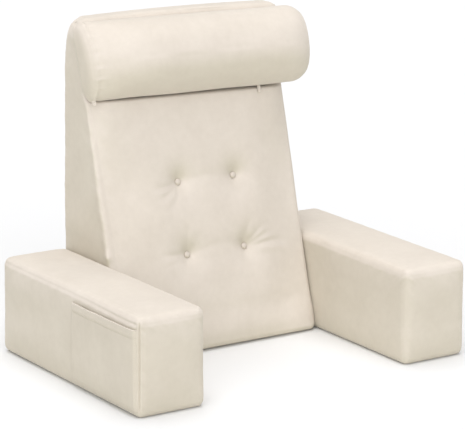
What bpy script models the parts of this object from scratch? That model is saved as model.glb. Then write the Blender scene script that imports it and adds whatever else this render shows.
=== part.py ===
"""Reading pillow: a wedge backrest between two block arms, with a neck roll and a side pocket.

Units are metres and +Z is up. The reader faces -Y, and +X is to the right of someone who looks
at the front. The origin is on the floor, at the middle of the whole pillow's box.
"""
from math import acos, atan2, copysign, cos, exp, pi, sin, sqrt

import bmesh
import bpy
from mathutils import Matrix, Vector
from mathutils.bvhtree import BVHTree

# Backrest: a foam wedge with an upright back and a leaning front
BACK_WIDTH = 0.426
BACK_HEIGHT = 0.600
BACK_TOP_RISE = 0.004
BACK_TOP_TILT = 0.014
BACK_SET_BACK = 0.008
FOOT_DEPTH = 0.208
TOP_DEPTH = 0.044
BACK_ROUND = 0.016
BACK_REAR_ROUND = 0.005
BACK_TOP_ROUND = 0.012
BACK_HEAD_FROM = 0.505
# How far the head of the wedge draws in at the rear, spreads at the front and slumps at its top
# corner, left and right
BACK_HEAD = {
    -1: {"draw_in": 0.008, "spread": 0.003, "slump": 0.0065},
    1: {"draw_in": 0.000, "spread": 0.013, "slump": -0.0022},
}
SLUMP_REACH = 0.034
REAR_CROWN = 0.004

# Stuffed front of the backrest
FRONT_CROWN = 0.019
CROWN_SHOULDER = 0.065
LIP_HEIGHT = 0.4555
LIP_DROP = 0.028
LIP_SHOULDER = 0.015
EDGE_BEAD = 0.0025
EDGE_BEAD_AT = 0.006
EDGE_VALLEY = 0.003
EDGE_VALLEY_AT = 0.018
ROW_VALLEY = 0.003

# Tufting buttons: name, place across, height where the thread goes in
TUFTS = (
    ("upper_left", -0.048, 0.302),
    ("upper_right", 0.072, 0.300),
    ("lower_left", -0.050, 0.173),
    ("lower_right", 0.075, 0.172),
)
TUFT_FLOOR = 0.001
TUFT_FLAT = 0.0115
TUFT_REACH = 0.021
TUFT_GATHER = 0.62
TUFT_GATHER_REACH = 0.050
BUTTON_RADIUS = 0.0055
BUTTON_DOME = 0.0042
BUTTON_FOOT = 0.0008

# Arms: foam blocks, one on each side of the backrest
ARM_WIDTH = 0.135
ARM_HEIGHT = 0.1775
ARM_LENGTH = 0.470
ARM_ROUND = 0.013
ARM_CROWN = 0.004
ARM_INNER_CROWN = 0.0035
ARM_SHOULDER = 0.055

# Neck roll: a soft bolster on the upper front, pressed flat where it lies on the backrest
ROLL_LENGTH = 0.474
ROLL_SHIFT = 0.0165
ROLL_DROP = 0.017
ROLL_HALF_HEIGHT = 0.0685
ROLL_GROWTH = 0.006
ROLL_REAR_DEPTH = 0.022
ROLL_FRONT_DEPTH = 0.064
ROLL_STAND_OFF = 0.020
ROLL_FACE_HEIGHT = 0.522
ROLL_TAPER = 0.090
ROLL_SQUARENESS = 2.1
# How far from its tip each end is full height, how square it is, how far its top leans out, and
# how far its tip stands off the backrest
ROLL_ENDS = {
    -1: {"corner": 0.013, "square": 4.2, "top_reach": 0.002, "tip": 0.007},
    1: {"corner": 0.044, "square": 2.9, "top_reach": 0.003, "tip": 0.034},
}

# Side pocket: a patch of cover cloth on the outer side of the left arm
POCKET_LENGTH = 0.207
POCKET_FRONT_INSET = 0.006
POCKET_FOOT = 0.012
POCKET_MOUTH = 0.156
POCKET_THICKNESS = 0.0018
POCKET_HEM = 0.014
POCKET_HEM_EXTRA = 0.0012
POCKET_SLACK = 0.0024
POCKET_SEAT_GAP = 0.0006

# Small cloth tabs: the left one hangs from the neck roll's lower corner, the right one is sewn
# to the backrest's lip
TAB_THICKNESS = 0.0022
LOOP_AT = -0.208
LOOP_WIDTH = 0.008
LOOP_DROP = 0.009
LOOP_OUT = 0.018
LOOP_GAP = 0.0005
LIP_TAB_AT = 0.146
LIP_TAB_WIDTH = 0.006
LIP_TAB_HEIGHT = 0.013
LIP_TAB_LIFT = -0.002
LIP_TAB_GAP = 0.0009

BACK_FLOOR_ROUND = 0.004
FLOOR_ROUND = 0.006
SEAM_GAP = 0.0004
MERGE = 0.00005

REAR_Y = ARM_LENGTH / 2 + BACK_SET_BACK
LEAN = atan2(FOOT_DEPTH - TOP_DEPTH, BACK_HEIGHT)
FACE_OUT = Vector((0, -cos(LEAN), sin(LEAN)))
FACE_UP = Vector((0, sin(LEAN), cos(LEAN)))

# Cover colours: linear red, green, blue
CREAM = (0.76, 0.71, 0.63, 1)
CREAM_SHADE = (0.72, 0.67, 0.59, 1)
COVER_ROUGHNESS = 0.9


# Scene and materials

def clear_scene():
    for old in list(bpy.data.objects):
        bpy.data.objects.remove(old, do_unlink=True)


def cloth_material(name, color):
    material = bpy.data.materials.new(name)
    material.use_nodes = True
    shader = material.node_tree.nodes["Principled BSDF"]
    shader.inputs["Base Color"].default_value = color
    shader.inputs["Roughness"].default_value = COVER_ROUGHNESS
    shader.inputs["Metallic"].default_value = 0.0
    return material


# Small helpers for soft shapes

def rise(distance, reach):
    """A quarter of a round: 0 at an edge, 1 from `reach` inwards."""
    return sin(pi / 2 * max(0.0, min(1.0, distance / reach)))


def bump(distance, at, width):
    return exp(-((distance - at) / width) ** 2)


def smooth(low, high, value):
    t = max(0.0, min(1.0, (value - low) / (high - low)))
    return t * t * (3 - 2 * t)


def mix(low, high, share):
    return low + (high - low) * share


def crowded(s, power):
    """Moves evenly spread lines of a cage towards both ends of -1..1."""
    return copysign(1 - (1 - abs(s)) ** power, s)


def rounded(point, half, radius):
    """Pulls a point on a box's skin onto the same box with round edges."""
    core = Vector(max(-h + radius, min(h - radius, c)) for c, h in zip(point, half))
    reach = point - core
    if reach.length < MERGE:
        return point
    return core + reach.normalized() * radius


def cut_cube(divisions):
    """A cube from -1 to 1, cut into the given number of strips along X, Y and Z."""
    bm = bmesh.new()
    bmesh.ops.create_cube(bm, size=2)
    for axis, count in enumerate(divisions):
        along = [e for e in bm.edges if abs(e.verts[0].co[axis] - e.verts[1].co[axis]) > 1]
        if count > 1:
            bmesh.ops.subdivide_edges(bm, edges=along, cuts=count - 1, use_grid_fill=True)
    return bm


def finished(name, bm, material, parent, collection):
    """Makes a smooth-shaded object from the mesh and hangs it on the pillow's empty."""
    bmesh.ops.recalc_face_normals(bm, faces=bm.faces)
    mesh = bpy.data.meshes.new(name)
    bm.to_mesh(mesh)
    bm.free()
    mesh.materials.append(material)
    mesh.shade_smooth()
    piece = bpy.data.objects.new(name, mesh)
    collection.objects.link(piece)
    piece.parent = parent
    return piece


# Backrest

def back_depth(z):
    return mix(FOOT_DEPTH, TOP_DEPTH, z / BACK_HEIGHT)


def face_point(x, z, out):
    """A point over the leaning front's flat plane, `out` metres in front of it."""
    return Vector((x, REAR_Y - back_depth(z), z)) + FACE_OUT * out


def tuft_weight(x, z):
    """1 on the flat floor of the nearest tuft, falling off to 0 around it."""
    nearest = min(sqrt((x - tx) ** 2 + (z - tz) ** 2) for _, tx, tz in TUFTS)
    return exp(-(max(0.0, nearest - TUFT_FLAT) / TUFT_REACH) ** 2)


def lip_height(x):
    """Where the stuffed front ends under the neck roll, which hangs lower on the right."""
    return LIP_HEIGHT - LIP_DROP * x


def front_relief(x, z):
    """How far the stuffed front stands out of the plane through its edges."""
    side = BACK_WIDTH / 2 - abs(x)
    swell = rise(side, CROWN_SHOULDER) * rise(z, CROWN_SHOULDER)
    swell *= rise(lip_height(x) - z, LIP_SHOULDER)
    relief = FRONT_CROWN * swell
    if side > 0:
        seen = rise(z, EDGE_VALLEY_AT) * rise(lip_height(x) - z, LIP_SHOULDER)
        relief += EDGE_BEAD * seen * bump(side, EDGE_BEAD_AT, EDGE_BEAD_AT * 0.6)
        relief -= EDGE_VALLEY * seen * bump(side, EDGE_VALLEY_AT, EDGE_VALLEY_AT * 0.4)
    for row in ("upper", "lower"):
        places = [(tx, tz) for name, tx, tz in TUFTS if name.startswith(row)]
        middle = sum(tx for tx, _ in places) / len(places)
        height = sum(tz for _, tz in places) / len(places)
        spread = smooth(0.11, 0.05, abs(x - middle))
        relief -= ROW_VALLEY * spread * bump(z, height, TUFT_REACH)
    return mix(relief, TUFT_FLOOR, tuft_weight(x, z))


def gathered(x, z):
    """Draws the front's mesh lines in towards the nearest button, as the thread draws the cloth."""
    for _, tx, tz in TUFTS:
        pull = TUFT_GATHER * exp(-((x - tx) ** 2 + (z - tz) ** 2) / TUFT_GATHER_REACH ** 2)
        x += (tx - x) * pull
        z += (tz - z) * pull
    return x, z


def back_skin(s):
    """Maps a point of the cut cube to the backrest's skin."""
    x = crowded(s.x, 1.45) * BACK_WIDTH / 2
    z = (crowded(s.z, 1.2) + 1) * BACK_HEIGHT / 2
    z -= 0.5 * (z - LIP_HEIGHT) * bump(z, LIP_HEIGHT, 0.05)
    if s.y < -0.99 and abs(s.x) < 0.99 and abs(s.z) < 0.99:
        x, z = gathered(x, z)
    share = smooth(0.2, 0.9, z / BACK_HEIGHT)
    half = Vector((BACK_WIDTH / 2, back_depth(z) / 2, BACK_HEIGHT / 2))
    flat = Vector((x, crowded(s.y, 1.8) * half.y, z - half.z))
    edge = BACK_ROUND if s.y < 0 else BACK_REAR_ROUND
    radius = mix(edge, BACK_TOP_ROUND, share) if flat.z > 0 else mix(BACK_FLOOR_ROUND, edge, z / half.z)
    p = rounded(flat, half, radius)
    top = smooth(BACK_HEAD_FROM, BACK_HEIGHT, z)
    height = p.z + half.z + top * (BACK_TOP_RISE * (1 - (x / half.x) ** 2) - BACK_TOP_TILT * x)
    depth = back_depth(height)
    place = Vector((p.x, REAR_Y + (p.y / half.y - 1) * depth / 2, height))
    if s.y < -0.99:
        place += FACE_OUT * front_relief(x, z)
    if s.y > 0.99:
        place.y += REAR_CROWN * rise(half.x - abs(x), 0.1) * rise(z, 0.1) * rise(BACK_HEIGHT - z, 0.1)
    side = copysign(1, s.x)
    head = BACK_HEAD[side]
    spread = mix(head["spread"], -head["draw_in"], (s.y + 1) / 2)
    place.x += side * spread * top * abs(x) / half.x
    slump = head["slump"] * smooth(SLUMP_REACH, 0, half.x - abs(x)) * smooth(SLUMP_REACH, 0, BACK_HEIGHT - z)
    place -= slump * Vector((side, 0, 1))
    return place


def make_backrest(material, parent, collection):
    bm = cut_cube((26, 6, 30))
    for vert in bm.verts:
        vert.co = back_skin(vert.co.copy())
    bmesh.ops.triangulate(bm, faces=bm.faces)
    return finished("backrest", bm, material, parent, collection)


def make_buttons(material, parent, collection):
    for name, x, z in TUFTS:
        bm = bmesh.new()
        bmesh.ops.create_uvsphere(bm, u_segments=14, v_segments=8, radius=1)
        for vert in bm.verts:
            height = BUTTON_DOME if vert.co.z > 0 else BUTTON_FOOT
            vert.co = Vector((vert.co.x * BUTTON_RADIUS, vert.co.y * BUTTON_RADIUS, vert.co.z * height))
        button = finished(f"button_{name}", bm, material, parent, collection)
        button.location = face_point(x, z, TUFT_FLOOR + SEAM_GAP + BUTTON_FOOT)
        button.rotation_euler = (pi / 2 - LEAN, 0, 0)


# Arms

def arm_skin(s, outward):
    """Maps a point of the cut cube to the skin of the arm on the `outward` side (-1 or 1)."""
    half = Vector((ARM_WIDTH / 2, ARM_LENGTH / 2, ARM_HEIGHT / 2))
    flat = Vector((crowded(s.x, 1.5) * half.x, crowded(s.y, 1.55) * half.y, crowded(s.z, 1.5) * half.z))
    return arm_surface(flat, half, outward)


def arm_surface(flat, half, outward):
    """Rounds and crowns a point on an arm's plain box, and moves it to its side of the backrest."""
    radius = mix(FLOOR_ROUND, ARM_ROUND, smooth(-half.z, 0, flat.z))
    p = rounded(flat, half, radius)
    inset = [h - abs(c) for c, h in zip(flat, half)]
    swell = [rise(d, ARM_SHOULDER) for d in inset]
    if inset[0] < MERGE and flat.x * outward > 0:
        p.x += outward * ARM_CROWN * swell[1] * swell[2]
    elif inset[0] < MERGE:
        free = smooth(FOOT_DEPTH - REAR_Y, FOOT_DEPTH - REAR_Y + 0.06, -flat.y)
        p.x -= outward * ARM_INNER_CROWN * swell[1] * swell[2] * free
    if inset[1] < MERGE:
        p.y += copysign(ARM_CROWN, flat.y) * swell[0] * swell[2]
    if inset[2] < MERGE and flat.z > 0:
        p.z += ARM_CROWN * swell[0] * swell[1]
    middle = BACK_WIDTH / 2 + SEAM_GAP + half.x
    return Vector((outward * middle + p.x, p.y, half.z + p.z))


def make_arm(name, outward, material, parent, collection):
    bm = cut_cube((8, 16, 8))
    for vert in bm.verts:
        vert.co = arm_skin(vert.co.copy(), outward)
    return finished(name, bm, material, parent, collection)


def make_pocket(material, parent, collection):
    """A thin patch that follows the left arm's outer side and slackens at its mouth."""
    half = Vector((ARM_WIDTH / 2, ARM_LENGTH / 2, ARM_HEIGHT / 2))
    front = -half.y + POCKET_FRONT_INSET
    bm = cut_cube((1, 14, 10))
    for vert in bm.verts:
        across, up = (crowded(vert.co.y, 1.6) + 1) / 2, (vert.co.z + 1) / 2
        y = front + POCKET_LENGTH * across
        z = mix(POCKET_FOOT, POCKET_MOUTH, up)
        skin = arm_surface(Vector((-half.x, y, z - half.z)), half, -1)
        slack = POCKET_SLACK * rise(1 - abs(vert.co.y), 0.5) * up ** 3
        out = POCKET_SEAT_GAP + slack
        if vert.co.x < 0:
            hem = smooth(POCKET_MOUTH - POCKET_HEM - 0.004, POCKET_MOUTH - POCKET_HEM + 0.004, z)
            out += POCKET_THICKNESS + POCKET_HEM_EXTRA * hem
        vert.co = skin + Vector((-out, 0, 0))
    return finished("pocket", bm, material, parent, collection)


# Neck roll

def roll_skin(n):
    """Maps a point of a unit sphere, with its poles on X, to the neck roll's skin."""
    side = copysign(1, n.x)
    end = ROLL_ENDS[side]
    ring = 1 - abs(1 - 2 * acos(max(-1.0, min(1.0, n.x))) / pi)
    inwards = ROLL_LENGTH / 2 * ring ** 1.6
    near = min(1.0, inwards / ROLL_TAPER)
    near_corner = min(1.0, inwards / end["corner"])
    angle = atan2(n.z, -n.y)
    depth = ROLL_FRONT_DEPTH * sqrt(1 - (1 - near) ** 1.3)
    if cos(angle) < 0:
        depth = ROLL_REAR_DEPTH * sqrt(1 - (1 - near_corner) ** 2)
    tall = ROLL_HALF_HEIGHT + ROLL_GROWTH * (ROLL_SHIFT + side * (ROLL_LENGTH / 2 - inwards))
    height = tall * (1 - (1 - near_corner) ** 2) ** (1 / end["square"])
    power = 2 / ROLL_SQUARENESS
    out = copysign(abs(cos(angle)) ** power, cos(angle)) * depth
    up = copysign(abs(sin(angle)) ** power, sin(angle)) * height
    stand_off = mix(end["tip"], ROLL_STAND_OFF, rise(near, 1))
    out = max(stand_off + out, SEAM_GAP)
    reach = ROLL_LENGTH / 2 - inwards + end["top_reach"] * (1 - near) * up / ROLL_HALF_HEIGHT
    across = ROLL_SHIFT + side * reach
    return face_point(across, ROLL_FACE_HEIGHT - ROLL_DROP * across, out) + FACE_UP * up


def make_roll(material, parent, collection):
    bm = bmesh.new()
    turn = Matrix.Rotation(pi / 2, 4, "Y")
    bmesh.ops.create_uvsphere(bm, u_segments=28, v_segments=26, radius=1, matrix=turn)
    for vert in bm.verts:
        vert.co = roll_skin(vert.co.normalized())
    return finished("neck_roll", bm, material, parent, collection)


def skin_tree(piece):
    """The piece's surface, for finding where a tab meets it."""
    points = [vert.co for vert in piece.data.vertices]
    return BVHTree.FromPolygons(points, [face.vertices for face in piece.data.polygons])


def make_left_tab(roll, material, parent, collection):
    """A tab that hangs from the underside of the neck roll, near its left end."""
    skin = skin_tree(roll)
    start = LIP_HEIGHT - LOOP_DROP
    bm = cut_cube((2, 1, 3))
    for vert in bm.verts:
        vert.co.x = LOOP_AT + vert.co.x * LOOP_WIDTH / 2
        vert.co.y = LOOP_OUT - vert.co.y * TAB_THICKNESS / 2
    room = min(skin.ray_cast(face_point(v.co.x, start, v.co.y), FACE_UP)[3] for v in bm.verts)
    for vert in bm.verts:
        up = room - LOOP_GAP - LOOP_DROP * (1 - vert.co.z) / 2
        vert.co = face_point(vert.co.x, start, vert.co.y) + FACE_UP * up
    return finished("tab_left", bm, material, parent, collection)


def make_right_tab(backrest, material, parent, collection):
    """A tab sewn to the backrest's lip, which tucks in under the neck roll."""
    skin = skin_tree(backrest)
    bm = cut_cube((2, 1, 10))
    for vert in bm.verts:
        z = lip_height(LIP_TAB_AT) + LIP_TAB_LIFT + vert.co.z * LIP_TAB_HEIGHT / 2
        above = face_point(LIP_TAB_AT + vert.co.x * LIP_TAB_WIDTH / 2, z, BACK_WIDTH)
        seat, normal = skin.ray_cast(above, -FACE_OUT)[:2]
        out = LIP_TAB_GAP if vert.co.y > 0 else LIP_TAB_GAP + TAB_THICKNESS
        vert.co = seat + (normal + FACE_OUT).normalized() * out
    return finished("tab_right", bm, material, parent, collection)


def centre_on_floor(parent, collection):
    """Moves the empty so that the pillow's box stands on the origin."""
    pieces = [piece for piece in collection.objects if piece.type == "MESH"]
    points = [piece.matrix_basis @ vert.co for piece in pieces for vert in piece.data.vertices]
    for axis in (0, 1):
        spots = [point[axis] for point in points]
        parent.location[axis] = -(min(spots) + max(spots)) / 2
    parent.location.z = -min(point.z for point in points)


def main():
    clear_scene()
    collection = bpy.data.collections.new("reading_pillow")
    bpy.context.scene.collection.children.link(collection)
    parent = bpy.data.objects.new("reading_pillow_origin", None)
    collection.objects.link(parent)
    backrest = make_backrest(cloth_material("backrest_cover", CREAM), parent, collection)
    make_buttons(cloth_material("button_cover", CREAM_SHADE), parent, collection)
    make_arm("arm_left", -1, cloth_material("arm_left_cover", CREAM), parent, collection)
    make_arm("arm_right", 1, cloth_material("arm_right_cover", CREAM), parent, collection)
    roll = make_roll(cloth_material("neck_roll_cover", CREAM), parent, collection)
    make_pocket(cloth_material("pocket_cloth", CREAM_SHADE), parent, collection)
    make_left_tab(roll, cloth_material("tab_left_cloth", CREAM_SHADE), parent, collection)
    make_right_tab(backrest, cloth_material("tab_right_cloth", CREAM_SHADE), parent, collection)
    centre_on_floor(parent, collection)


main()
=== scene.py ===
"""Reading pillow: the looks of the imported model, with sewn cushions, pocket, buttons and studio."""
from math import atan2, cos, radians, sin

import bmesh
import bpy
import numpy as np
from mathutils import Matrix, Vector


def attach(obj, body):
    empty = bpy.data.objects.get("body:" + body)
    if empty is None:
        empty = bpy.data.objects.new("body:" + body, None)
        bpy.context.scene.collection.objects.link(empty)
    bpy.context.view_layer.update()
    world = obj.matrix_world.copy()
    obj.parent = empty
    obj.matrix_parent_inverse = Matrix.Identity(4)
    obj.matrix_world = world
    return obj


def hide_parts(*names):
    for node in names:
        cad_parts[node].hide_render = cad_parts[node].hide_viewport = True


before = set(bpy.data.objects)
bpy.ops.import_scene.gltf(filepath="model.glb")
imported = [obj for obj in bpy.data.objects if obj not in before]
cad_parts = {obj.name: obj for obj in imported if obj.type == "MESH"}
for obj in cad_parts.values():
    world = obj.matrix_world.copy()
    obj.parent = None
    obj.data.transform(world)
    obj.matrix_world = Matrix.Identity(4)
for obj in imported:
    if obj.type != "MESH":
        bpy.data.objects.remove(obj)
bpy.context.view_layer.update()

# Lengths are in metres, and the main ones are those of the solids. Unless its line says otherwise,
# a pair is for the left and the right side. A FADE is a pair of places, with nothing at the first
# and all at the second. A FOLD is its height, how far it lies from its edge, and its width. A PLACE
# is a fold without its height. CUTS are the strips of a cage along X, Y and Z, and CROWDING draws
# its lines towards its edges. WAVES are their lengths and the seed of their draws.

HOME = np.array((0.00215, -0.004, 0.0))  # where the part's own zero lies in the row frame
SEAM_GAP = 0.0004
ON_SKIN = 0.999  # past this share of the cage, a point lies on that side of it
TINY = 1e-6  # nearer than this, a point lies on the plane that it is compared with

# Backrest
BACK_WIDTH = 0.426
BACK_HEIGHT = 0.600
FOOT_DEPTH = 0.208
TOP_DEPTH = 0.044
BACK_SET_BACK = 0.008
BACK_CUTS = (160, 30, 190)
BACK_CROWDING = (1.45, 1.6, 1.2)
BACK_TOP_RISE = 0.004
BACK_TOP_TILT = 0.014
BACK_ROUND = (0.015, 0.0095)  # the front edges, low down and high up
BACK_ROUND_FADE = (0.20, 0.45)
BACK_REAR_ROUND = 0.005
BACK_TOP_ROUND = 0.012
BACK_TOP_ROUND_FADE = (0.2, 0.9)  # in shares of the height
BACK_FLOOR_ROUND = 0.012
BACK_HEAD_FROM = 0.505
BACK_DRAW_IN = (0.008, 0.000)
BACK_SPREAD = (0.003, 0.013)
BACK_SLUMP = (0.0065, -0.0010)
SLUMP_REACH = 0.034
CROWN_REACH = 0.1

# Backrest, its leaning front
FRONT_CROWN = 0.016
CROWN_SHOULDER = 0.120
FACE_FOOT_PUSH = 0.006
FACE_FOOT_FADE = (0.075, 0.02)
FACE_FOOT_EDGE = 0.02
FACE_UNEVEN = 0.0007
FACE_WAVES = ((0.17, 0.11), 3)
FACE_WAVE_EDGE = 0.06
LIP_HEIGHT = 0.4580
LIP_DROP = 0.028
LIP_SHOULDER = 0.009
LIP_FILL = 0.050
LIP_FILL_FADE = (0.170, 0.005)
LIP_CROWDING = 0.6
LIP_CROWDING_REACH = 0.045

# Backrest, its tufts: places in the plane of the front, as (x, z)
TUFTS = ((-0.048, 0.302), (0.072, 0.300), (-0.050, 0.173), (0.075, 0.172))
TUFT_NAMES = ("upper_left", "upper_right", "lower_left", "lower_right")
TUFT_FLOOR = 0.001
TUFT_PIT = 0.0050
TUFT_PIT_REACH = 0.0175
TUFT_PIT_POWER = 1.08
TUFT_GATHER = 0.62
TUFT_GATHER_REACH = 0.050
TUFT_ROWS = (0.301, 0.1725)
ROW_MIDDLE = 0.0125
ROW_FADE = (0.115, 0.045)
ROW_DIP = 0.0015
ROW_WIDTH = 0.021
CREASE_EDGE_FADE = (0.0, 0.04)
CREASE_BOW = 0.06  # from here to CREASES, in shares of a crease's length, width or depth
CREASE_START_FADE = (-0.12, 0.08)
CREASE_END_FADE = (1.0, 0.45)
CREASE_SPREAD = 0.9
VALLEY_WIDTH = 0.85
RIDGE_HEIGHT = 0.6
RIDGE_AT = 1.7
RIDGE_WIDTH = 1.1
# Each crease: from (x, z), to (x, z), depth, width
CREASES = (
    ((-0.060, 0.300), (-0.118, 0.296), 0.0016, 0.0045),
    ((-0.058, 0.294), (-0.110, 0.272), 0.0018, 0.0050),
    ((-0.052, 0.290), (-0.078, 0.252), 0.0012, 0.0050),
    ((-0.036, 0.302), (0.058, 0.299), 0.0005, 0.0060),
    ((-0.038, 0.174), (0.062, 0.182), 0.0005, 0.0060),
    ((-0.062, 0.176), (-0.120, 0.180), 0.0016, 0.0050),
    ((-0.064, 0.170), (-0.112, 0.158), 0.0010, 0.0050),
    ((0.086, 0.182), (0.128, 0.208), 0.0009, 0.0032),
    ((0.088, 0.176), (0.142, 0.190), 0.0011, 0.0034),
    ((0.088, 0.170), (0.190, 0.163), 0.0018, 0.0055),
    ((-0.050, 0.190), (-0.040, 0.236), 0.0010, 0.0060),
    ((0.076, 0.190), (0.098, 0.226), 0.0010, 0.0050),
)

# Backrest, its rear and side panels
REAR_CROWN = 0.004
REAR_UNEVEN = 0.0006
REAR_WAVES = ((0.21, 0.13), 5)
REAR_WAVE_EDGE = 0.03
SIDE_UNEVEN = 0.0010
SIDE_SWELL = 0.6  # against the unevenness
SIDE_WAVES = ((0.09, 0.16), 7)
SIDE_FREE_FADE = (0.005, 0.06)  # above the arms
SIDE_FOLD_DEPTH = 0.0012
SIDE_FOLD_WIDTH = 0.0045
SIDE_FOLD_EDGE = 0.001  # how far it runs on round the edges of the side
SIDE_FOLD_FOOT = (0.147, 0.465)  # as (y, z)
SIDE_FOLD_TOP = (0.168, 0.560)
SIDE_FOLD_BOW = 0.004
SIDE_FOLD_START_FADE = (-0.15, 0.15)
SIDE_FOLD_END_FADE = (1.1, 0.7)

# Backrest, its seams. The bead and its groove are in shares of the front edge's radius.
BACK_FLOOR_FADE = (0.002, 0.02)
BACK_PUCKERS = ((0.00010, 0.013), (0.0003, 0.041))  # fine and coarse, as (height, length)
BEAD_RISE = 0.0034
BEAD_PLACE = (-0.15, 0.60)
BEAD_GROOVE_DEPTH = 0.0015
BEAD_GROOVE_AT = 0.95
BEAD_GROOVE_WIDTH = (1.3, 0.33)  # away from the bead and towards it
BEAD_LIP_FADE = (0.015, -0.012)
BEAD_PUCKER_PLACES = ((0.022, 0.008), (-0.014, 0.007))
BULGE_LIFT = 0.012  # the bead's bulge just above the arm
BULGE_LENGTH = 0.009
BULGE_RISE = 0.0050
BULGE_PLACE = (-0.001, 0.0075)
RIGHT_BEAD = (0.5, 0.05)  # the right bead's share, at the floor and above it
RIGHT_BEAD_FADE = (0.03, 0.08)
REAR_SEAM_FADE = (0.35, 0.75)  # in shares of the depth
REAR_SEAM_THIN = 0.25
REAR_SEAM_THIN_FADE = (0.5, 0.6)
REAR_RIM_FOLD = (0.0008, 0.0045, 0.0022)
REAR_GROOVE_FOLD = (0.0009, 0.0, 0.0012)
REAR_PUCKER_PLACE = (0.008, 0.007)
CORNER_UNEVEN = 0.0011
CORNER_WAVES = ((0.035, 0.02), 23)
CORNER_REACH = 0.05
CORNER_SIDE_REACH = 0.1

# Arms
ARM_WIDTH = 0.135
ARM_HEIGHT = 0.1775
ARM_LENGTH = 0.470
ARM_CUTS = (64, 130, 68)
ARM_CROWDING = 1.6
ARM_ROUND = 0.016
ARM_FLOOR_ROUND = 0.012
ARM_CROWN = 0.004
ARM_INNER_CROWN = 0.0035
ARM_INNER_REACH = 0.06
ARM_SHOULDER = 0.055
ARM_FLOOR_FADE = (0.004, 0.02)
ARM_BESIDE_FADE = (0.01, 0.03)
ARM_TOUCHING_FADE = (-0.01, 0.02)  # past the foot of the backrest's front
ARM_PUCKERS = ((0.00010, 0.014), (0.0002, 0.037))
ARM_FRONT_FADE = (-0.02, -0.20)
ARM_OUTER_GROOVE = (0.5, 1.0)  # the groove's share, at the rear and at the front
ARM_INNER_GROOVE = 0.15
ARM_REAR_GROOVE = 0.7
ARM_FRONT_GROOVE = 0.3
RIM_RISE = 0.0017
RIM_PLACE = (0.0015, 0.0085)
RIM_END_FADE = (0.0, 0.014)
RIM_TOP_FOLD = (0.0008, 0.0140, 0.0024)
RIM_UNDER_DEPTH = 0.0014
RIM_UNDER_AT = (-0.0085, -0.0125)  # at the rear and at the front
RIM_UNDER_WIDTH = 0.0028
RIM_PUCKER_DROP = 0.007
RIM_PUCKER_WIDTH = 0.006
POST_TOP_FADE = (0.002, 0.016)  # the posts are the arm's upright edges
POST_SOFT_FOLD = (0.0012, 0.0, 0.0075)
POST_RISE = 0.0011
POST_PLACE = (0.0052, 0.0034)
POST_GROOVE_FOLD = (0.0015, 0.0, 0.0017)
POST_PUCKER_PLACE = (0.010, 0.006)
KNOB_RISE = 0.0022  # the plump corners of the top
KNOB_REACH = 0.010
ARM_UNEVEN = 0.0008
ARM_WAVES = ((0.12, 0.08), 11)
ARM_WAVE_EDGE = 0.04

# Neck roll
ROLL_LENGTH = 0.474
ROLL_SHIFT = 0.0165
ROLL_DROP = 0.017
ROLL_HALF_HEIGHT = 0.0685
ROLL_GROWTH = 0.006
ROLL_REAR_DEPTH = 0.022
ROLL_FRONT_DEPTH = 0.064
ROLL_FACE_HEIGHT = 0.522
ROLL_STAND_OFF = 0.020
ROLL_RINGS = 150
ROLL_SIDES = 128
ROLL_CROWDING = 1.6
ROLL_SQUARENESS = 2.1
ROLL_REAR_TOP_SQUARENESS = 8.0
ROLL_TOP_LIFT = (0.0085, 0.0035)
ROLL_TIP = (0.007, 0.034)  # how far each tip stands off the front
ROLL_TAPER = 0.090
ROLL_END_POWER = 1.8
ROLL_CORNER = (0.012, 0.040)
ROLL_SQUARE = (4.6, 3.1)  # how square each end looks from the front
ROLL_TOP_REACH = (0.002, 0.003)
ROLL_CAP = 0.032  # the left end's flat cap
ROLL_CAP_ROUND = 0.010
ROLL_CAP_POWER = 0.2
ROLL_CAP_REACH = 0.150
ROLL_SEAM_SHARE = (1.0, 0.45)
ROLL_RIM_FOLD = (0.0020, 0.0115, 0.0034)
ROLL_GROOVE_FOLD = (0.0012, 0.0068, 0.0016)
ROLL_FURROW_FOLD = (0.0011, 0.0185, 0.0050)
ROLL_GATHERS = ((0.0006, 23, 0), (0.0005, 41, 2))  # as (height, gathers in a turn, start)
ROLL_GATHER_PLACE = (0.016, 0.010)
ROLL_UNEVEN = 0.0010
ROLL_WAVES = ((0.16, 0.09), 17)
ROLL_WAVE_SCALE = (0.25, 0.05)  # about half its length, and its radius

# Pocket
POCKET_LENGTH = 0.207
POCKET_FRONT_INSET = 0.005
POCKET_FOOT = 0.012
POCKET_MOUTH = 0.156
POCKET_CUTS = (2, 120, 100)
POCKET_CROWDING = (1.3, 1.2)
POCKET_THICKNESS = 0.0018
POCKET_LINING = 0.0011  # how far its lining is off the arm
POCKET_HEM = 0.0125
POCKET_HEM_THICKNESS = 0.0012
POCKET_HEM_FOLD = 0.003
POCKET_SLACK = 0.0016
POCKET_RIPPLE = 0.0004
POCKET_RIPPLES = 19
POCKET_UNEVEN = 0.0005
POCKET_WAVES = ((0.09, 0.05), 31)
POCKET_EDGE_SHARE = 0.45
POCKET_EDGE = 0.006
STITCH_INSET = 0.0035
STITCH_LENGTH = 0.0030
STITCH_GAP = 0.0014
STITCH_RADIUS = 0.00032
STITCH_SIDES = 6
STITCH_RINGS = ((-0.9, 0.5), (0.35, 0.95), (0.6, 1.0), (0.35, 0.95), (-0.9, 0.5))  # lift, width
STITCH_DENT_FOLD = (0.0005, STITCH_INSET, 0.0012)
HEM_ROWS = (-0.0008, 0.0040)

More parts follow.
